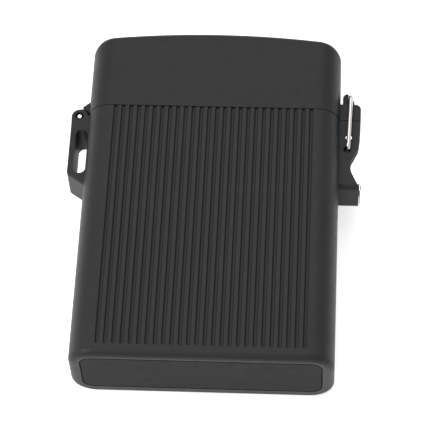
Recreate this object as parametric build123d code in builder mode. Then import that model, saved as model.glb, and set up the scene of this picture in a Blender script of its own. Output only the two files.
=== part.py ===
from build123d import *
from math import cos, radians, sin, sqrt
import os

# A pocket petrol lighter with an airtight lid, lying on its back.
# +X is the latch side, +Y points to the lid, +Z comes out of the ribbed face, and z = 0 is the back face.

# ---- driving dimensions, millimetres ----
rib_pitch = 1.5
groove_count = 26
groove_radius = 0.4
groove_end_margin = 2.7

case_width = 48.4
case_depth = 15.6
body_length = 53.4
lid_length = 17.5
lid_overhang = 0.07
long_edge_radius = 4.6
end_edge_radius = 1.3
case_wall = 1.4
case_floor = 2.2

lid_arch_radius = 175.0
lid_corner_width = 3.2
lid_corner_drop = 1.95
lid_edge_radius = 1.5
lid_cavity_length = 14.6
lid_cavity_corner = 1.8

plate_width = 43.8
plate_height = 11.2
plate_corner_radius = 2.1
plate_gap = 0.15
plate_thickness = 1.0
plate_shift = 0.42
seal_thickness = 0.3
service_width = 36.0
service_height = 7.4

hinge_offset = 1.95
hinge_rise = 0.02
hinge_ear_depth = 7.3
hinge_ear_reach = 3.46
hinge_gap_radius = 2.05
hinge_edge_radius = 0.35
cheek_radius = 1.75
knuckle_radius = 1.58
knuckle_width = 3.0
knuckle_slot = 3.3
hinge_pin_radius = 0.47
hinge_bore_radius = 0.85
hinge_bore_depth = 0.9
pin_fit = 0.03

slot_width = 2.4
slot_centre = 1.15
slot_top_drop = 3.15
slot_bottom_drop = 12.9
loop_outer_drop = 13.5
loop_inner_drop = 15.5

latch_ear_depth = 7.6
latch_ear_reach = 3.95
latch_ear_end_reach = 3.86
latch_ear_end_drop = 14.9
latch_ear_rise = 3.78
latch_ear_corner = 1.1
latch_end_radius = 1.0
latch_edge_chamfer = 0.2
lid_ear_overhang = 0.07
seam_gap = 0.13

lever_pivot_out = 1.76
lever_pivot_drop = 3.8
lever_pin_radius = 0.68
bail_end_out = 1.68
bail_end_drop = 6.3
bail_hole_radius = 0.76
bail_hole_play = 0.15
crossbar_out = 2.08
crossbar_rise = 5.4
wire_radius = 0.42
leg_clearance = 0.28
bail_bend_radius = 0.8

lever_sheet = 0.32
lever_flange = 0.5
lever_gap = 0.14
lever_width = 5.1
lever_slot = 5.4
lever_head_radius = 1.5
lever_flange_drop = 13.3
lever_tip_drop = 14.15
lever_loop_length = 1.4
lever_loop_width = 0.46
lever_loop_wall = 0.14

neck_rise = 2.2
can_width = 44.0
can_height = 12.2
can_corner = 3.0
can_wall = 0.5

chimney_width = 13.4
chimney_height = 10.4
chimney_length = 11.0
chimney_wall = 0.5
chimney_centre = -3.2
chimney_hole_radius = 0.9

wheel_x = 9.2
wheel_rise = 7.9
wheel_radius = 4.0
wheel_face = 4.4
wheel_teeth = 44
axle_radius = 0.9

wick_x = -3.2
wick_radius = 1.5
flint_tube_radius = 1.9
flint_bore_radius = 1.4
flint_radius = 1.2

# ---- planes and reference positions that follow from them ----
total_length = body_length + lid_length
bottom_y = -total_length / 2
seam_y = bottom_y + body_length
top_y = total_length / 2
mid_z = case_depth / 2
side_x = case_width / 2
hinge_x = -side_x - hinge_offset
hinge_y = seam_y + hinge_rise
pivot = Vector(side_x + lever_pivot_out, seam_y - lever_pivot_drop, 0)
bail_end = Vector(side_x + bail_end_out, seam_y - bail_end_drop, 0)
crossbar = Vector(side_x + crossbar_out, seam_y + crossbar_rise, 0)
neck_y = seam_y + neck_rise
can_bottom_y = bottom_y + case_floor + 0.2
deck_y = neck_y
wheel_y = seam_y + wheel_rise


def across(y):
    """The plane across the lighter at a height y, looking towards the lid."""
    return Plane(origin=(0, y, mid_z), x_dir=(1, 0, 0), z_dir=(0, 1, 0))


def front(z):
    """The plane of the broad face at a depth z."""
    return Plane.XY.offset(z)


def left(out, rise):
    """A point outside the hinge side, measured from the side wall and the seam."""
    return (-side_x - out, seam_y + rise)


def right(out, rise):
    """A point outside the latch side, measured from the side wall and the seam."""
    return (side_x + out, seam_y + rise)


def around_hinge(radius, angle):
    """A point on a circle about the hinge axis."""
    return (hinge_x + radius * cos(radians(angle)), hinge_y + radius * sin(radians(angle)))


def finish(part, name):
    """Labels a finished piece and writes its file."""
    part.label = name
    export_step(part, f"parts/{name}.step")
    print(f"{name:16s} solids {len(part.solids())} volume {part.volume:9.2f}")


os.makedirs("parts", exist_ok=True)

# ---- hinge ear of the case, with its lanyard loop ----
hinge_ear_z = mid_z - hinge_ear_depth / 2
tip_angle = 75

with BuildPart() as hinge_ear:
    with BuildSketch(front(hinge_ear_z)):
        with BuildLine():
            Line(left(-1.0, -0.1), around_hinge(cheek_radius, 5))
            ThreePointArc(
                around_hinge(cheek_radius, 5),
                around_hinge(cheek_radius, tip_angle / 2),
                around_hinge(cheek_radius, tip_angle),
            )
            Line(around_hinge(cheek_radius, tip_angle), around_hinge(knuckle_radius, 100))
            ThreePointArc(
                around_hinge(knuckle_radius, 100),
                around_hinge(knuckle_radius, 140),
                around_hinge(knuckle_radius, 180),
            )
            Polyline(
                around_hinge(knuckle_radius, 180),
                left(hinge_ear_reach, -2.2),
                left(hinge_ear_reach, -loop_outer_drop + 1.1),
            )
            ThreePointArc(
                left(hinge_ear_reach, -loop_outer_drop + 1.1),
                left(hinge_ear_reach - 0.2, -loop_outer_drop + 0.4),
                left(hinge_ear_reach - 0.7, -loop_outer_drop - 0.05),
            )
            Polyline(
                left(hinge_ear_reach - 0.7, -loop_outer_drop - 0.05),
                left(0.0, -loop_inner_drop),
                left(-1.0, -loop_inner_drop),
                left(-1.0, -0.1),
            )
        make_face()
    extrude(amount=hinge_ear_depth)
    # room for the lid's knuckle between the two cheeks
    with BuildSketch(front(mid_z - knuckle_slot / 2)):
        with Locations((hinge_x, hinge_y)):
            Circle(knuckle_radius + 0.2)
        with BuildLine():
            Polyline(
                (hinge_x - 4, hinge_y),
                (-side_x, hinge_y),
                (-side_x, hinge_y + 4),
                (hinge_x - 4, hinge_y + 4),
                close=True,
            )
        make_face()
    extrude(amount=knuckle_slot, mode=Mode.SUBTRACT)
    rim = hinge_ear.faces().filter_by(Axis.Z).group_by(Axis.Z)[0].edges()
    rim += hinge_ear.faces().filter_by(Axis.Z).group_by(Axis.Z)[-1].edges()
    fillet(rim.filter_by_position(Axis.X, -side_x - 5, -side_x - 0.6), hinge_edge_radius)
    # the slot for a lanyard
    slot_mid = (slot_top_drop + slot_bottom_drop) / 2
    with BuildSketch(front(hinge_ear_z)):
        with Locations(left(slot_centre, -slot_mid)):
            SlotOverall(slot_bottom_drop - slot_top_drop, slot_width, rotation=90)
    extrude(amount=hinge_ear_depth, mode=Mode.SUBTRACT)
    # pin bore, opened out at both ends
    with Locations((hinge_x, hinge_y, mid_z)):
        Cylinder(hinge_pin_radius, hinge_ear_depth + 2, mode=Mode.SUBTRACT)
    with Locations(
        (hinge_x, hinge_y, hinge_ear_z + hinge_ear_depth),
        (hinge_x, hinge_y, hinge_ear_z),
    ):
        Cylinder(hinge_bore_radius, 2 * hinge_bore_depth, mode=Mode.SUBTRACT)

# ---- latch ear of the case: two cheeks with the lever's slot between them ----
latch_ear_z = mid_z - latch_ear_depth / 2
with BuildPart() as latch_ear:
    with BuildSketch(front(latch_ear_z)):
        with BuildLine():
            Polyline(
                right(latch_ear_reach, -2.8),
                right(latch_ear_reach, 0.0),
                right(-1.0, 0.0),
                right(-1.0, -latch_ear_end_drop),
                right(latch_ear_end_reach, -latch_ear_end_drop),
                right(latch_ear_end_reach, -14.55),
                right(2.72, -12.1),
            )
            # the finger scoop behind the lever
            ThreePointArc(right(2.72, -12.1), right(2.19, -9.95), right(2.78, -7.75))
            Line(right(2.78, -7.75), right(3.6, -5.95))
            ThreePointArc(right(3.6, -5.95), right(3.86, -4.5), right(latch_ear_reach, -2.8))
        make_face()
    extrude(amount=latch_ear_depth)
    # a round lower end, and softer edges along the scoop
    fillet(latch_ear.faces().sort_by(Axis.Y)[0].edges().filter_by(Axis.X), latch_end_radius)
    scoop_top = seam_y - 1.5
    scoop = latch_ear.edges().filter_by_position(Axis.X, side_x + 2, side_x + 3.9)
    scoop = scoop.filter_by_position(Axis.Y, seam_y - 13.5, scoop_top)
    chamfer(scoop.group_by(Axis.Z)[0] + scoop.group_by(Axis.Z)[-1], latch_edge_chamfer)
    # slot for the lever
    with BuildSketch(front(mid_z - lever_slot / 2)):
        with BuildLine():
            Polyline(
                right(0.1, -0.5),
                right(6.0, -0.5),
                right(6.0, -13.9),
                right(3.0, -13.6),
                right(1.45, -11.6),
                right(1.35, -9.3),
                right(0.1, -6.9),
                close=True,
            )
        make_face()
    extrude(amount=lever_slot, mode=Mode.SUBTRACT)
    # holes for the bail's ends, with play, and for the lever's pin
    with Locations((bail_end.X - bail_hole_play, bail_end.Y - bail_hole_play, mid_z)):
        Cylinder(bail_hole_radius, latch_ear_depth + 2, mode=Mode.SUBTRACT)
    with Locations((pivot.X, pivot.Y, mid_z)):
        Cylinder(lever_pin_radius, latch_ear_depth + 2, mode=Mode.SUBTRACT)

# ---- case shell: the ribbed body with both ears ----
groove_length = body_length - groove_end_margin
with BuildPart() as case_shell:
    with BuildSketch(across(bottom_y)):
        RectangleRounded(case_width, case_depth, long_edge_radius)
    extrude(amount=body_length)
    fillet(case_shell.faces().sort_by(Axis.Y)[0].edges(), end_edge_radius)
    add(hinge_ear.part)
    add(latch_ear.part)
    # room for the insert, and the service opening in the floor
    with BuildSketch(across(bottom_y + case_floor)):
        RectangleRounded(
            case_width - 2 * case_wall,
            case_depth - 2 * case_wall,
            long_edge_radius - case_wall,
        )
    extrude(amount=body_length, mode=Mode.SUBTRACT)
    with BuildSketch(across(bottom_y)):
        RectangleRounded(service_width, service_height, plate_corner_radius)
    extrude(amount=case_floor, mode=Mode.SUBTRACT)
    # the recess that the bottom plate lies in
    with BuildSketch(across(bottom_y)):
        with Locations((0, -plate_shift)):
            RectangleRounded(
                plate_width + 2 * plate_gap,
                plate_height + 2 * plate_gap,
                plate_corner_radius + plate_gap,
            )
    extrude(amount=plate_thickness + seal_thickness, mode=Mode.SUBTRACT)
    # half-round grooves in the front face, with ball ends
    groove_centre_y = seam_y - groove_length / 2
    with GridLocations(rib_pitch, 1, groove_count, 1):
        with Locations(Location((0, groove_centre_y, case_depth), (90, 0, 0))):
            Cylinder(groove_radius, groove_length, mode=Mode.SUBTRACT)
        with Locations((0, seam_y - groove_length, case_depth)):
            Sphere(groove_radius, mode=Mode.SUBTRACT)
finish(case_shell.part, "case_shell")

# ---- bottom plate and its gasket ----
with BuildPart() as bottom_plate:
    with BuildSketch(across(bottom_y)):
        with Locations((0, -plate_shift)):
            RectangleRounded(plate_width, plate_height, plate_corner_radius)
    extrude(amount=plate_thickness)
    chamfer(bottom_plate.faces().sort_by(Axis.Y)[0].edges(), 0.12)
finish(bottom_plate.part, "bottom_plate")

with BuildPart() as bottom_seal:
    with BuildSketch(across(bottom_y + plate_thickness)):
        with Locations((0, -plate_shift)):
            RectangleRounded(plate_width - 0.4, plate_height - 0.4, plate_corner_radius)
            RectangleRounded(plate_width - 6, plate_height - 3.2, 1.6, mode=Mode.SUBTRACT)
    extrude(amount=seal_thickness)
finish(bottom_seal.part, "bottom_seal")

# ---- lid: shell with its knuckle and ear, liner and catch ----
with BuildPart() as lid_core:
    with BuildSketch(across(seam_y)):
        RectangleRounded(
            case_width - 2 * case_wall,
            case_depth - 2 * case_wall,
            long_edge_radius - case_wall,
        )
    extrude(amount=lid_cavity_length)
    fillet(lid_core.faces().sort_by(Axis.Y)[-1].edges(), lid_cavity_corner)

lid_side_x = side_x + lid_overhang
arch_end_x = lid_side_x - lid_corner_width
arch_end_y = top_y - lid_arch_radius + sqrt(lid_arch_radius**2 - arch_end_x**2)
arch_tangent = (arch_end_y - top_y + lid_arch_radius, -arch_end_x)

with BuildPart() as lid_shell:
    with BuildSketch(across(seam_y + seam_gap)):
        RectangleRounded(case_width + 2 * lid_overhang, case_depth, long_edge_radius)
    extrude(amount=lid_length)
    with BuildSketch(front(0)):
        with BuildLine():
            arch = RadiusArc((0, top_y), (arch_end_x, arch_end_y), lid_arch_radius)
            corner = TangentArc(
                (arch_end_x, arch_end_y),
                (lid_side_x, arch_end_y - lid_corner_drop),
                tangent=arch_tangent,
            )
            Polyline(corner @ 1, (lid_side_x, seam_y - 1), (0, seam_y - 1))
            mirror(about=Plane.YZ)
        make_face()
    extrude(amount=case_depth, mode=Mode.INTERSECT)
    rim = lid_shell.edges().filter_by_position(Axis.Y, arch_end_y - lid_corner_drop - 0.1, top_y + 1)
    rim -= rim.filter_by(Axis.Z).filter_by_position(Axis.X, -side_x + 1, side_x - 1)
    fillet(rim, lid_edge_radius)
    # the latch half of the lid's side ear
    with BuildSketch(front(latch_ear_z)) as ear_front:
        with BuildLine():
            Polyline(
                right(-1.0, seam_gap),
                right(latch_ear_reach + lid_ear_overhang, seam_gap),
                right(latch_ear_reach + lid_ear_overhang, latch_ear_rise),
                right(-1.0, latch_ear_rise),
                close=True,
            )
        make_face()
        fillet(ear_front.vertices().group_by(Axis.X)[-1].sort_by(Axis.Y)[-1], latch_ear_corner)
    extrude(amount=latch_ear_depth)
    # the wedge that closes over the hinge cheeks
    with BuildSketch(front(hinge_ear_z)):
        with BuildLine():
            ThreePointArc(
                around_hinge(hinge_gap_radius, 6),
                around_hinge(hinge_gap_radius, tip_angle / 2),
                around_hinge(hinge_gap_radius, tip_angle),
            )
            Polyline(
                around_hinge(hinge_gap_radius, tip_angle),
                left(0.0, 3.2),
                left(-1.0, 3.2),
                left(-1.0, seam_gap + 0.06),
                around_hinge(hinge_gap_radius, 6),
            )
        make_face()
    extrude(amount=hinge_ear_depth)
    # the knuckle between the cheeks, and its arm
    with BuildSketch(front(mid_z - knuckle_width / 2)):
        with Locations((hinge_x, hinge_y)):
            Circle(knuckle_radius)
        with BuildLine():
            Polyline(
                left(hinge_offset, seam_gap),
                around_hinge(knuckle_radius, 110),
                around_hinge(hinge_gap_radius, tip_angle),
                left(0.0, 3.2),
                left(-1.0, 3.2),
                left(-1.0, seam_gap),
                close=True,
            )
        make_face()
    extrude(amount=knuckle_width)
    with Locations((hinge_x, hinge_y, mid_z)):
        Cylinder(hinge_pin_radius + pin_fit, knuckle_width + 2, mode=Mode.SUBTRACT)
    add(lid_core.part, mode=Mode.SUBTRACT)
finish(lid_shell.part, "lid_shell")

liner_start = 3.2
liner_wall = 0.4
with BuildPart() as lid_liner:
    with BuildSketch(across(seam_y + liner_start)):
        RectangleRounded(
            case_width - 2 * case_wall - 0.06,
            case_depth - 2 * case_wall - 0.06,
            long_edge_radius - case_wall,
        )
    extrude(amount=lid_cavity_length - liner_start - 0.03)
    fillet(lid_liner.faces().sort_by(Axis.Y)[-1].edges(), lid_cavity_corner)
    offset(
        amount=-liner_wall,
        openings=lid_liner.faces().sort_by(Axis.Y)[0],
    )
finish(lid_liner.part, "lid_liner")

catch_depth = latch_ear_depth - 0.8
seat_gap = 0.03
seat_radius = wire_radius + seat_gap
seat_rise = crossbar_rise - seat_radius
seat_left = crossbar_out - seat_radius
with BuildPart() as lid_catch:
    with BuildSketch(front(mid_z - catch_depth / 2)):
        with BuildLine():
            Line(right(0.55, latch_ear_rise), right(0.55, 5.3))
            ThreePointArc(right(0.55, 5.3), right(0.76, 6.05), right(1.3, 6.42))
            ThreePointArc(right(1.3, 6.42), right(1.49, 6.34), right(seat_left, 6.15))
            Line(right(seat_left, 6.15), right(seat_left, crossbar_rise))
            ThreePointArc(
                right(seat_left, crossbar_rise),
                right(crossbar_out - 0.37, crossbar_rise - 0.37),
                right(crossbar_out, seat_rise),
            )
            # a low lip outside the wire, under the way it swings out
            Line(right(crossbar_out, seat_rise), right(2.5, seat_rise - 0.05))
            ThreePointArc(right(2.5, seat_rise - 0.05), right(2.68, 4.74), right(2.75, 4.55))
            Polyline(right(2.75, 4.55), right(2.75, latch_ear_rise), right(0.55, latch_ear_rise))
        make_face()
    extrude(amount=catch_depth)
finish(lid_catch.part, "lid_catch")

# ---- hinge pin and lever pin ----
with BuildPart() as hinge_pin:
    with Locations((hinge_x, hinge_y, mid_z)):
        Cylinder(hinge_pin_radius, hinge_ear_depth - 0.4)
    chamfer(hinge_pin.edges(), 0.1)
finish(hinge_pin.part, "hinge_pin")

with BuildPart() as lever_pin:
    with Locations((pivot.X, pivot.Y, mid_z)):
        Cylinder(lever_pin_radius, latch_ear_depth)
    chamfer(lever_pin.edges(), 0.1)
finish(lever_pin.part, "lever_pin")

# ---- latch lever: a steel channel on the pin, with a folded loop for a finger tip ----
plate_inner = latch_ear_reach + lever_gap
plate_outer = plate_inner + lever_sheet
lever_top_drop = lever_pivot_drop - lever_head_radius
loop_out = (plate_inner + plate_outer) / 2 - 0.05
with BuildPart() as latch_lever:
    with BuildSketch(front(mid_z - lever_width / 2)):
        with BuildLine():
            Polyline(
                right(plate_inner, -lever_top_drop),
                right(plate_outer, -lever_top_drop),
                right(plate_outer, -lever_tip_drop),
                right(plate_inner, -lever_tip_drop),
                close=True,
            )
        make_face()
        with Locations(right(loop_out, -lever_tip_drop)):
            SlotOverall(lever_loop_length, lever_loop_width, rotation=90)
            SlotOverall(
                lever_loop_length - 2 * lever_loop_wall,
                lever_loop_width - 2 * lever_loop_wall,
                rotation=90,
                mode=Mode.SUBTRACT,
            )
    extrude(amount=lever_width)
    for low_z in (mid_z - lever_width / 2, mid_z + lever_width / 2 - lever_flange):
        with BuildSketch(front(low_z)):
            with Locations(pivot):
                Circle(lever_head_radius)
            with BuildLine():
                Polyline(
                    right(plate_outer, -lever_top_drop),
                    right(plate_outer, -lever_flange_drop),
                    right(3.2, -lever_flange_drop),
                    right(1.6, -11.2),
                    right(1.5, -9.5),
                    right(0.9, -7.5),
                    right(lever_pivot_out - lever_head_radius, -lever_pivot_drop),
                    right(lever_pivot_out, -lever_top_drop),
                    close=True,
                )
            make_face()
        extrude(amount=lever_flange)
    bends = latch_lever.edges().filter_by(Axis.Y).filter_by_position(
        Axis.X, side_x + plate_outer - 0.01, side_x + plate_outer + 0.01
    )
    fillet(bends, 0.25)
    with Locations((pivot.X, pivot.Y, mid_z)):
        Cylinder(lever_pin_radius + pin_fit, lever_width + 1, mode=Mode.SUBTRACT)
finish(latch_lever.part, "latch_lever")

# ---- wire bail: one bent wire from one cheek, over the catch, to the other ----
leg_z = latch_ear_depth / 2 + leg_clearance + wire_radius
wire_end_z = lever_width / 2 + 0.15
wire_points = [
    (bail_end.X, bail_end.Y, mid_z + wire_end_z),
    (bail_end.X, bail_end.Y, mid_z + leg_z),
    (crossbar.X, crossbar.Y, mid_z + leg_z),
    (crossbar.X, crossbar.Y, mid_z - leg_z),
    (bail_end.X, bail_end.Y, mid_z - leg_z),
    (bail_end.X, bail_end.Y, mid_z - wire_end_z),
]
with BuildPart() as wire_bail:
    with BuildLine() as wire_path:
        FilletPolyline(*wire_points, radius=bail_bend_radius)
    with BuildSketch(Plane(origin=wire_path.line @ 0, z_dir=wire_path.line % 0)):
        Circle(wire_radius)
    sweep()
finish(wire_bail.part, "wire_bail")

# ---- insert: can, floor, felt, wadding and neck seal ----
with BuildPart() as insert_can:
    with BuildSketch(across(can_bottom_y)):
        RectangleRounded(can_width, can_height, can_corner)
    extrude(amount=deck_y - can_bottom_y)
    with BuildSketch(across(can_bottom_y)):
        RectangleRounded(can_width - 2 * can_wall, can_height - 2 * can_wall, can_corner - can_wall)
    extrude(amount=deck_y - can_bottom_y - can_wall, mode=Mode.SUBTRACT)
    fillet(insert_can.faces().sort_by(Axis.Y)[-1].edges(), 0.4)
    with BuildSketch(across(deck_y - 1)):
        with Locations((wick_x, 0)):
            Circle(wick_radius + 0.15)
        with Locations((wheel_x, 0)):
            Circle(flint_tube_radius)
    extrude(amount=2, mode=Mode.SUBTRACT)
finish(insert_can.part, "insert_can")

floor_thickness = 0.8
felt_thickness = 2.0
inner_width = can_width - 2 * can_wall - 0.1
inner_height = can_height - 2 * can_wall - 0.1
inner_corner = can_corner - can_wall
with BuildPart() as insert_floor:
    with BuildSketch(across(can_bottom_y)):
        RectangleRounded(inner_width, inner_height, inner_corner)
        with Locations((wheel_x, 0)):
            Circle(flint_tube_radius, mode=Mode.SUBTRACT)
    extrude(amount=floor_thickness)
finish(insert_floor.part, "insert_floor")

felt_y = can_bottom_y + floor_thickness
with BuildPart() as felt_pad:
    with BuildSketch(across(felt_y)):
        RectangleRounded(inner_width, inner_height, inner_corner)
        with Locations((wheel_x, 0)):
            Circle(flint_tube_radius + 0.1, mode=Mode.SUBTRACT)
    extrude(amount=felt_thickness)
finish(felt_pad.part, "felt_pad")

wadding_y = felt_y + felt_thickness
wadding_top_y = deck_y - can_wall - 0.4
with BuildPart() as wadding:
    with BuildSketch(across(wadding_y)):
        RectangleRounded(inner_width - 0.2, inner_height - 0.2, inner_corner)
        with Locations((wheel_x, 0)):
            Circle(flint_tube_radius + 0.1, mode=Mode.SUBTRACT)
    extrude(amount=wadding_top_y - wadding_y)
    with BuildSketch(across(wadding_y + 4)):
        with Locations((wick_x, 0)):
            Circle(wick_radius + 0.02)
    extrude(amount=body_length, mode=Mode.SUBTRACT)
finish(wadding.part, "wadding")

seal_reach = 0.55
with BuildPart() as neck_seal:
    with BuildSketch(across(seam_y + 0.3)):
        RectangleRounded(can_width + 2 * seal_reach, can_height + 0.3, can_corner + 0.15)
        RectangleRounded(can_width, can_height, can_corner, mode=Mode.SUBTRACT)
    extrude(amount=1.3)
finish(neck_seal.part, "neck_seal")

# ---- wick, chimney and striker ----
wick_top_y = deck_y + 6.2
with BuildPart() as wick:
    with BuildSketch(across(wadding_y + 4)):
        with Locations((wick_x, 0)):
            Circle(wick_radius)
    extrude(amount=wick_top_y - wadding_y - 4)
    chamfer(wick.faces().sort_by(Axis.Y)[-1].edges(), 0.25)
finish(wick.part, "wick")

cheek_end = wheel_x + 4.2
chimney_right = chimney_centre + chimney_width / 2
with BuildPart() as chimney:
    with BuildSketch(across(deck_y)):
        with Locations((chimney_centre, 0)):
            RectangleRounded(chimney_width, chimney_height, 2.4)
            RectangleRounded(
                chimney_width - 2 * chimney_wall,
                chimney_height - 2 * chimney_wall,
                2.4 - chimney_wall,
                mode=Mode.SUBTRACT,
            )
    extrude(amount=chimney_length)
    # the two side plates reach out to carry the wheel
    for low_z in (mid_z - chimney_height / 2, mid_z + chimney_height / 2 - chimney_wall):
        with BuildSketch(front(low_z)) as cheek_front:
            with BuildLine():
                Polyline(
                    (chimney_right - 2.6, deck_y),
                    (cheek_end, deck_y),
                    (cheek_end, wheel_y + 0.6),
                    (wheel_x + 2.2, wheel_y + 2.4),
                    (wheel_x - 1.6, wheel_y + 2.4),
                    (chimney_right - 1.2, deck_y + chimney_length - 0.8),
                    (chimney_right - 2.6, deck_y + chimney_length - 0.8),
                    close=True,
                )
            make_face()
        extrude(amount=chimney_wall)
    # wind-screen holes through front and back, in rows of three, two and three
    rows = ((2.6, 3), (5.4, 2), (8.2, 3))
    for rise, holes in rows:
        with Locations((chimney_centre, deck_y + rise, mid_z)):
            with GridLocations(3.3, 1, holes, 1):
                Cylinder(chimney_hole_radius, chimney_height + 2, mode=Mode.SUBTRACT)
    with Locations((wheel_x, wheel_y, mid_z)):
        Cylinder(axle_radius, chimney_height + 2, mode=Mode.SUBTRACT)
finish(chimney.part, "chimney")

with BuildPart() as wheel_axle:
    with Locations((wheel_x, wheel_y, mid_z)):
        Cylinder(axle_radius, chimney_height)
    for z in (mid_z - chimney_height / 2 - 0.2, mid_z + chimney_height / 2 + 0.2):
        with Locations((wheel_x, wheel_y, z)):
            Cylinder(1.5, 0.4)
    chamfer(wheel_axle.edges().filter_by(GeomType.CIRCLE).group_by(Axis.Z)[0], 0.12)
    chamfer(wheel_axle.edges().filter_by(GeomType.CIRCLE).group_by(Axis.Z)[-1], 0.12)
finish(wheel_axle.part, "wheel_axle")

with BuildPart() as striker_wheel:
    with Locations((wheel_x, wheel_y, mid_z)):
        Cylinder(wheel_radius, wheel_face)
        Cylinder(wheel_radius - 0.7, chimney_height - 2 * chimney_wall - 1.4)
        Cylinder(1.6, chimney_height - 2 * chimney_wall - 0.4)
        Cylinder(axle_radius + pin_fit, chimney_height, mode=Mode.SUBTRACT)
    # fine file teeth around the rim
    with BuildSketch(front(mid_z - wheel_face / 2)):
        with Locations((wheel_x, wheel_y)):
            with PolarLocations(wheel_radius + 0.04, wheel_teeth):
                Triangle(a=0.42, b=0.4, c=0.4, rotation=90, align=(Align.CENTER, Align.MAX))
    extrude(amount=wheel_face, mode=Mode.SUBTRACT)
finish(striker_wheel.part, "striker_wheel")

# ---- flint column ----
tube_top_y = deck_y + 1.0
screw_head_y = can_bottom_y - 0.9
screw_top_y = can_bottom_y + 9.0
flint_top_y = wheel_y - wheel_radius - 0.15
flint_low_y = flint_top_y - 5.0
plunger_low_y = flint_low_y - 2.2

with BuildPart() as flint_tube:
    with BuildSketch(across(can_bottom_y)):
        with Locations((wheel_x, 0)):
            Circle(flint_tube_radius)
            Circle(flint_bore_radius, mode=Mode.SUBTRACT)
    extrude(amount=tube_top_y - can_bottom_y)
finish(flint_tube.part, "flint_tube")

with BuildPart() as flint:
    with BuildSketch(across(flint_low_y)):
        with Locations((wheel_x, 0)):
            Circle(flint_radius)
    extrude(amount=flint_top_y - flint_low_y)
finish(flint.part, "flint")

with BuildPart() as flint_plunger:
    with BuildSketch(across(flint_low_y - 0.8)):
        with Locations((wheel_x, 0)):
            Circle(flint_radius)
    extrude(amount=0.8)
    with BuildSketch(across(plunger_low_y)):
        with Locations((wheel_x, 0)):
            Circle(0.6)
    extrude(amount=1.6)
finish(flint_plunger.part, "flint_plunger")

spring_wire = 0.18
spring_radius = 0.95
spring_low_y = screw_top_y + spring_wire
spring_high_y = flint_low_y - 0.8 - spring_wire
with BuildPart() as flint_spring:
    with BuildLine() as spring_path:
        Helix(
            pitch=1.6,
            height=spring_high_y - spring_low_y,
            radius=spring_radius,
            center=(wheel_x, spring_low_y, mid_z),
            direction=(0, 1, 0),
        )
    with BuildSketch(Plane(origin=spring_path.line @ 0, z_dir=spring_path.line % 0)):
        Circle(spring_wire)
    sweep()
finish(flint_spring.part, "flint_spring")

with BuildPart() as flint_screw:
    with BuildSketch(across(screw_head_y)):
        with Locations((wheel_x, 0)):
            Circle(2.5)
    extrude(amount=0.8)
    with BuildSketch(across(screw_head_y)):
        with Locations((wheel_x, 0)):
            Circle(flint_bore_radius - 0.02)
    extrude(amount=screw_top_y - screw_head_y)
    with BuildSketch(across(screw_head_y)):
        with Locations((wheel_x, 0)):
            Rectangle(6, 0.6)
    extrude(amount=0.5, mode=Mode.SUBTRACT)
finish(flint_screw.part, "flint_screw")
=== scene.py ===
import math
import bmesh
import bpy
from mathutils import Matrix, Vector, noise as field


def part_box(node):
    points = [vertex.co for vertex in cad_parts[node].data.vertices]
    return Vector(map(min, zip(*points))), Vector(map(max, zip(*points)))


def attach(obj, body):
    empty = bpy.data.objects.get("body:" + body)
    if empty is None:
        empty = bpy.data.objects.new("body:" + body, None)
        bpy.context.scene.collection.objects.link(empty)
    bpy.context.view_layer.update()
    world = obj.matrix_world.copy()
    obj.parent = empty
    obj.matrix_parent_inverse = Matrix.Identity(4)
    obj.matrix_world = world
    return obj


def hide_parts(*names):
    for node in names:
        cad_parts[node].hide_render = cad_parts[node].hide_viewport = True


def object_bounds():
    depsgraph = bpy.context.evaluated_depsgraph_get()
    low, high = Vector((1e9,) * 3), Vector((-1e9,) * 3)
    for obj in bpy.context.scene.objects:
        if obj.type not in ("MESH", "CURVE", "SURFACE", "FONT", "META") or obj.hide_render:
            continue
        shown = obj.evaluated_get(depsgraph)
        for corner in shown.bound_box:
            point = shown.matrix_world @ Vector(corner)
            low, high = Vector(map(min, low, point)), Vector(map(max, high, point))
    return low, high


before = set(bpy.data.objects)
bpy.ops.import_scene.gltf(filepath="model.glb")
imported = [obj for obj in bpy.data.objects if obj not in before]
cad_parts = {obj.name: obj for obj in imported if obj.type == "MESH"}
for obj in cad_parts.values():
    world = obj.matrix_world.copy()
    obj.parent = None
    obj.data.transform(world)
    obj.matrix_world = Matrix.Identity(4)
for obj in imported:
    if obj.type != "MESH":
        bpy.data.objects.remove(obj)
cad_low, cad_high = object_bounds()

MM = 0.001
scene = bpy.context.scene
scene.view_settings.view_transform = "Standard"

# ---- camera, a long lens above the bottom end, looking down on the ribbed face ----
# place in millimetres, turn in degrees about X, Y and Z
CAMERA_PLACE = (22.25, -206.06, 360.72)
CAMERA_TURN = (30.185, 1.917, 2.661)
LENS = 180.0
SENSOR = 36.0
NEAREST, FURTHEST = 0.01, 10.0

camera_data = bpy.data.cameras.new("camera")
camera_data.lens = LENS
camera_data.sensor_width = SENSOR
camera = bpy.data.objects.new("camera", camera_data)
camera.location = [v * MM for v in CAMERA_PLACE]
camera.rotation_euler = [math.radians(v) for v in CAMERA_TURN]
camera_data.clip_start = NEAREST
camera_data.clip_end = FURTHEST
scene.collection.objects.link(camera)
scene.camera = camera


# ---- material tools ----
# the middle band of a noise, which a remap spreads over its whole range
NOISE_LOW, NOISE_HIGH = 0.3, 0.7


def new_material(name):
    """A material with its Principled shader, and the row-frame coordinates in millimetres."""
    mat = bpy.data.materials.new(name)
    mat.use_nodes = True
    tree = mat.node_tree
    shader = tree.nodes["Principled BSDF"]
    coords = tree.nodes.new("ShaderNodeTexCoord")
    scale = tree.nodes.new("ShaderNodeVectorMath")
    scale.operation = "SCALE"
    scale.inputs["Scale"].default_value = 1 / MM
    tree.links.new(coords.outputs["Object"], scale.inputs[0])
    return mat, tree, shader, scale.outputs[0]


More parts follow.
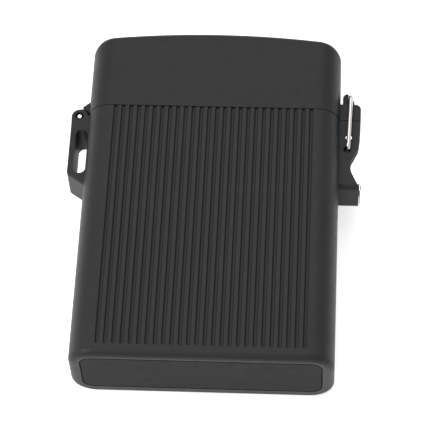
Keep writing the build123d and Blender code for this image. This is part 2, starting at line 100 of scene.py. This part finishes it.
def noise(tree, vector, size, detail=3.0, rough=0.55):
    """Noise with features about size millimetres across."""
    node = tree.nodes.new("ShaderNodeTexNoise")
    node.inputs["Scale"].default_value = 1 / size
    node.inputs["Detail"].default_value = detail
    node.inputs["Roughness"].default_value = rough
    tree.links.new(vector, node.inputs["Vector"])
    return node.outputs["Fac"]


def remap(tree, value, low, high):
    """The middle band of a noise becomes low to high."""
    node = tree.nodes.new("ShaderNodeMapRange")
    node.inputs["From Min"].default_value = NOISE_LOW
    node.inputs["From Max"].default_value = NOISE_HIGH
    node.inputs["To Min"].default_value = low
    node.inputs["To Max"].default_value = high
    tree.links.new(value, node.inputs["Value"])
    return node.outputs["Result"]


def blend_colours(tree, factor, dark, light):
    """A colour between dark and light."""
    node = tree.nodes.new("ShaderNodeMix")
    node.data_type = "RGBA"
    node.inputs["A"].default_value = (*dark, 1)
    node.inputs["B"].default_value = (*light, 1)
    tree.links.new(factor, node.inputs["Factor"])
    return node.outputs["Result"]


def bump(tree, shader, height, distance):
    """Surface relief, distance in millimetres."""
    node = tree.nodes.new("ShaderNodeBump")
    node.inputs["Distance"].default_value = distance * MM
    tree.links.new(height, node.inputs["Height"])
    tree.links.new(node.outputs["Normal"], shader.inputs["Normal"])


def stretch(tree, vector, factors):
    """The coordinates scaled along X, Y and Z, which draws a texture out into lines."""
    node = tree.nodes.new("ShaderNodeVectorMath")
    node.operation = "MULTIPLY"
    node.inputs[1].default_value = factors
    tree.links.new(vector, node.inputs[0])
    return node.outputs[0]


def paint(node, mat):
    """The material on a CAD node."""
    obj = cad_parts[node]
    obj.data.materials.clear()
    obj.data.materials.append(mat)


# sizes of the paint's clouds, patches and orange peel, and the peel's depth, in millimetres
CLOUD_SIZE, PATCH_SIZE, PEEL_SIZE, PEEL_DEPTH = 6.0, 1.6, 0.09, 0.006
GRAIN_SIZE = 0.2


def soft_coat(name, dark, light, rough_low, rough_high, gloss=0.23):
    """Matt soft-touch paint with a very fine orange peel."""
    mat, tree, shader, at = new_material(name)
    shader.inputs["Specular IOR Level"].default_value = gloss
    shader.inputs["Sheen Weight"].default_value = 0.03
    shader.inputs["Sheen Roughness"].default_value = 0.5
    cloud = noise(tree, at, CLOUD_SIZE)
    tree.links.new(blend_colours(tree, cloud, dark, light), shader.inputs["Base Color"])
    patch = noise(tree, at, PATCH_SIZE)
    tree.links.new(remap(tree, patch, rough_low, rough_high), shader.inputs["Roughness"])
    bump(tree, shader, noise(tree, at, PEEL_SIZE, 2.0), PEEL_DEPTH)
    return mat


def metal(name, colour, rough, grain=(1, 1, 1), relief=0.003):
    """Steel or brass with a brushed or turned grain along the stretched direction."""
    mat, tree, shader, at = new_material(name)
    shader.inputs["Metallic"].default_value = 1.0
    lines = noise(tree, stretch(tree, at, grain), GRAIN_SIZE, 2.0)
    dark = [c * 0.86 for c in colour]
    tree.links.new(blend_colours(tree, lines, dark, colour), shader.inputs["Base Color"])
    tree.links.new(remap(tree, lines, rough * 0.75, rough * 1.3), shader.inputs["Roughness"])
    bump(tree, shader, lines, relief)
    return mat


# ---- materials on the CAD nodes ----
coat = soft_coat("soft_coat", (0.0158, 0.0152, 0.0164), (0.0198, 0.0191, 0.0203), 0.42, 0.52)
lid_coat = soft_coat("lid_coat", (0.0138, 0.0131, 0.0146), (0.0170, 0.0162, 0.0180), 0.42, 0.52)
# bottom plate: the case's soft coat painted about half as dark, painted shade against the light the
# glowing floor throws on it
plate_coat = soft_coat(
    "plate_coat", (0.0078, 0.0075, 0.0081), (0.0102, 0.0099, 0.0103), 0.50, 0.60, 0.09
)
catch_black = soft_coat("catch_black", (0.006, 0.006, 0.006), (0.009, 0.009, 0.009), 0.22, 0.30, 0.16)
paint("case_shell", coat)
paint("lid_shell", lid_coat)
paint("bottom_plate", plate_coat)
paint("lid_catch", catch_black)
paint("wire_bail", metal("bail_steel", (0.74, 0.69, 0.66), 0.20, (1, 0.1, 1)))
paint("latch_lever", metal("lever_steel", (0.96, 0.96, 0.96), 0.10, (1, 0.08, 1), 0.0008))
pin_steel = metal("pin_steel", (0.92, 0.92, 0.92), 0.16, relief=0.001)
for pin in ("hinge_pin", "lever_pin", "wheel_axle"):
    paint(pin, pin_steel)
insert_steel = metal("insert_steel", (0.66, 0.66, 0.66), 0.26, (0.06, 1, 1))
for sheet_part in ("insert_can", "insert_floor", "chimney"):
    paint(sheet_part, insert_steel)
paint("lid_liner", metal("liner_steel", (0.74, 0.74, 0.75), 0.32, (0.06, 1, 1)))
paint("striker_wheel", metal("wheel_steel", (0.33, 0.33, 0.34), 0.35))
brass = metal("brass", (0.80, 0.60, 0.28), 0.25, (1, 0.1, 1))
for turned in ("flint_tube", "flint_screw", "flint_plunger"):
    paint(turned, brass)
paint("flint_spring", metal("spring_steel", (0.55, 0.55, 0.56), 0.3))
paint("flint", metal("flint_alloy", (0.20, 0.19, 0.18), 0.6))
rubber = soft_coat("seal_rubber", (0.012, 0.012, 0.012), (0.018, 0.018, 0.018), 0.6, 0.75)
for ring in ("bottom_seal", "neck_seal"):
    paint(ring, rubber)


# ---- soft pieces of the insert: braided wick, pressed felt and loose wadding ----
def fibre(name, dark, light, thread, relief, along=(1, 1, 1)):
    """Cotton or felt: fine fibres with soft sheen and a little colour variation."""
    mat, tree, shader, at = new_material(name)
    shader.inputs["Specular IOR Level"].default_value = 0.15
    shader.inputs["Sheen Weight"].default_value = 0.35
    shader.inputs["Sheen Roughness"].default_value = 0.6
    strands = noise(tree, stretch(tree, at, along), thread, 4.0, 0.65)
    tree.links.new(blend_colours(tree, strands, dark, light), shader.inputs["Base Color"])
    tree.links.new(remap(tree, strands, 0.98, 0.86), shader.inputs["Roughness"])
    bump(tree, shader, strands, relief)
    return mat


def new_piece(name, mesh, mat, node):
    """A visual piece on the case body that stands for a CAD node."""
    mesh.materials.clear()
    mesh.materials.append(mat)
    mesh.polygons.foreach_set("use_smooth", [True] * len(mesh.polygons))
    piece = bpy.data.objects.new(name, mesh)
    scene.collection.objects.link(piece)
    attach(piece, "case")
    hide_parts(node)
    return piece


# the braid: strands each way, the length of their lay in millimetres, and the mesh round and along it
WICK_STRANDS = 8
WICK_LAY = 4.2
WICK_ROUND = 64
WICK_ROW = 0.16
# radius of the braid between its strands, how far they stand out, and the rounded tip
BRAID_CORE, BRAID_RELIEF = 0.93, 0.065
TIP_RADIUS, TIP_LENGTH, TIP_DIP = 0.72, 0.7, 0.1


def wick_radius(turn, length, radius):
    """Radius of the braid where two sets of strands cross each other, turn in radians."""
    lay = 2 * math.pi * length / WICK_LAY
    right_hand = math.cos(WICK_STRANDS * turn + lay * 2)
    left_hand = math.cos(WICK_STRANDS * turn - lay * 2)
    over = max(right_hand, left_hand)
    return radius * (BRAID_CORE + BRAID_RELIEF * over)


def wick_braid():
    """The braided wick's mesh, in the box of its CAD node."""
    low, high = (Vector(corner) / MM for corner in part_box("wick"))
    middle = (low + high) / 2
    full = (high.x - low.x) / 2
    rows = int((high.y - low.y) / WICK_ROW)
    braid = bmesh.new()
    rings = []
    for row in range(rows + 1):
        length = (high.y - low.y) * row / rows
        to_tip = (high.y - low.y) - length
        rounding = math.sqrt(min(1.0, to_tip / TIP_LENGTH))
        crown = min(1.0, TIP_RADIUS + (1 - TIP_RADIUS) * rounding)
        ring = []
        for step in range(WICK_ROUND):
            turn = 2 * math.pi * step / WICK_ROUND
            radius = wick_radius(turn, length, full) * crown
            place = Vector((
                middle.x + radius * math.cos(turn),
                low.y + length,
                middle.z + radius * math.sin(turn),
            ))
            ring.append(braid.verts.new(place * MM))
        rings.append(ring)
    for lower, upper in zip(rings, rings[1:]):
        for step in range(WICK_ROUND):
            after = (step + 1) % WICK_ROUND
            braid.faces.new((lower[step], upper[step], upper[after], lower[after]))
    braid.faces.new(rings[0])
    tip = braid.verts.new(Vector((middle.x, high.y - TIP_DIP, middle.z)) * MM)
    for step in range(WICK_ROUND):
        braid.faces.new((rings[-1][step], tip, rings[-1][(step + 1) % WICK_ROUND]))
    mesh = bpy.data.meshes.new("wick_braid")
    braid.to_mesh(mesh)
    braid.free()
    return mesh


wick_cotton = fibre("wick_cotton", (0.60, 0.56, 0.47), (0.80, 0.77, 0.69), 0.12, 0.03, (1, 0.35, 1))
new_piece("wick_braid", wick_braid(), wick_cotton, "wick")

SMOOTH_STEPS = 6


def soft_block(name, node, voxel, sink, lump, lump_size, mat):
    """A padded piece made from a CAD solid: round at the edges and uneven on its faces.

    voxel, sink, lump and lump_size are in millimetres. Each point lies sink, give or take lump,
    inside the CAD solid's surface.
    """
    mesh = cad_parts[node].data.copy()
    mesh.transform(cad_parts[node].matrix_world)
    rough = bpy.data.objects.new(name + "_rough", mesh)
    scene.collection.objects.link(rough)
    remesh = rough.modifiers.new("remesh", "REMESH")
    remesh.mode = "VOXEL"
    remesh.voxel_size = voxel * MM
    smooth = rough.modifiers.new("smooth", "SMOOTH")
    smooth.iterations = SMOOTH_STEPS
    bpy.context.view_layer.update()
    shaped = bpy.data.meshes.new_from_object(
        rough.evaluated_get(bpy.context.evaluated_depsgraph_get())
    )
    bpy.data.objects.remove(rough)
    shaped.name = name
    normals = [vertex.normal.copy() for vertex in shaped.vertices]
    for vertex, normal in zip(shaped.vertices, normals):
        wave = field.fractal(vertex.co / (lump_size * MM), 1.0, 2.0, 3)
        depth = sink + lump * max(-1.0, min(1.0, wave))
        vertex.co -= normal * depth * MM
    piece = new_piece(name, shaped, mat, node)


felt = fibre("felt", (0.42, 0.41, 0.38), (0.60, 0.59, 0.55), 0.25, 0.05)
soft_block("felt_slab", "felt_pad", 0.3, 0.1, 0.08, 1.2, felt)
wadding_cotton = fibre("wadding_cotton", (0.74, 0.73, 0.69), (0.90, 0.89, 0.86), 0.5, 0.12)
soft_block("cotton_fill", "wadding", 0.6, 0.25, 0.2, 3.0, wadding_cotton)

# ---- floor, soft studio light ----
FLOOR_HALF = 1.5
FLOOR_GAP = 0.00002
FLOOR_GREY = 0.93
FLOOR_GLOW = 0.58
WORLD_LIGHT = 0.6
AIM = (0, 0, 0.008)

half = FLOOR_HALF
floor_mesh = bpy.data.meshes.new("floor")
floor_mesh.from_pydata(
    [(-half, -half, 0), (half, -half, 0), (half, half, 0), (-half, half, 0)], [], [(0, 1, 2, 3)]
)
floor = bpy.data.objects.new("floor", floor_mesh)
floor.location.z = cad_low[2] - FLOOR_GAP
scene.collection.objects.link(floor)
floor_mat, _, floor_shader, _ = new_material("floor")
floor_shader.inputs["Base Color"].default_value = (FLOOR_GREY, FLOOR_GREY, FLOOR_GREY, 1)
floor_shader.inputs["Roughness"].default_value = 0.9
floor_shader.inputs["Specular IOR Level"].default_value = 0.1
floor_shader.inputs["Emission Color"].default_value = (1, 1, 1, 1)
floor_shader.inputs["Emission Strength"].default_value = FLOOR_GLOW
floor_mesh.materials.append(floor_mat)

world = bpy.data.worlds.new("studio")
scene.world = world
world.use_nodes = True
world.node_tree.nodes["Background"].inputs["Color"].default_value = (1, 1, 1, 1)
world.node_tree.nodes["Background"].inputs["Strength"].default_value = WORLD_LIGHT


def softbox(name, place, power, size):
    """A large area light aimed at the object: place and size in metres, power in watts."""
    data = bpy.data.lights.new(name, "AREA")
    data.energy = power
    data.size = size
    light = bpy.data.objects.new(name, data)
    light.location = place
    towards = Vector(AIM) - Vector(place)
    light.rotation_euler = towards.to_track_quat("-Z", "Y").to_euler()
    scene.collection.objects.link(light)


softbox("key", (-0.46, -0.16, 0.58), 4.0, 0.5)
softbox("fill", (0.04, 0.38, 0.66), 1.5, 0.6)
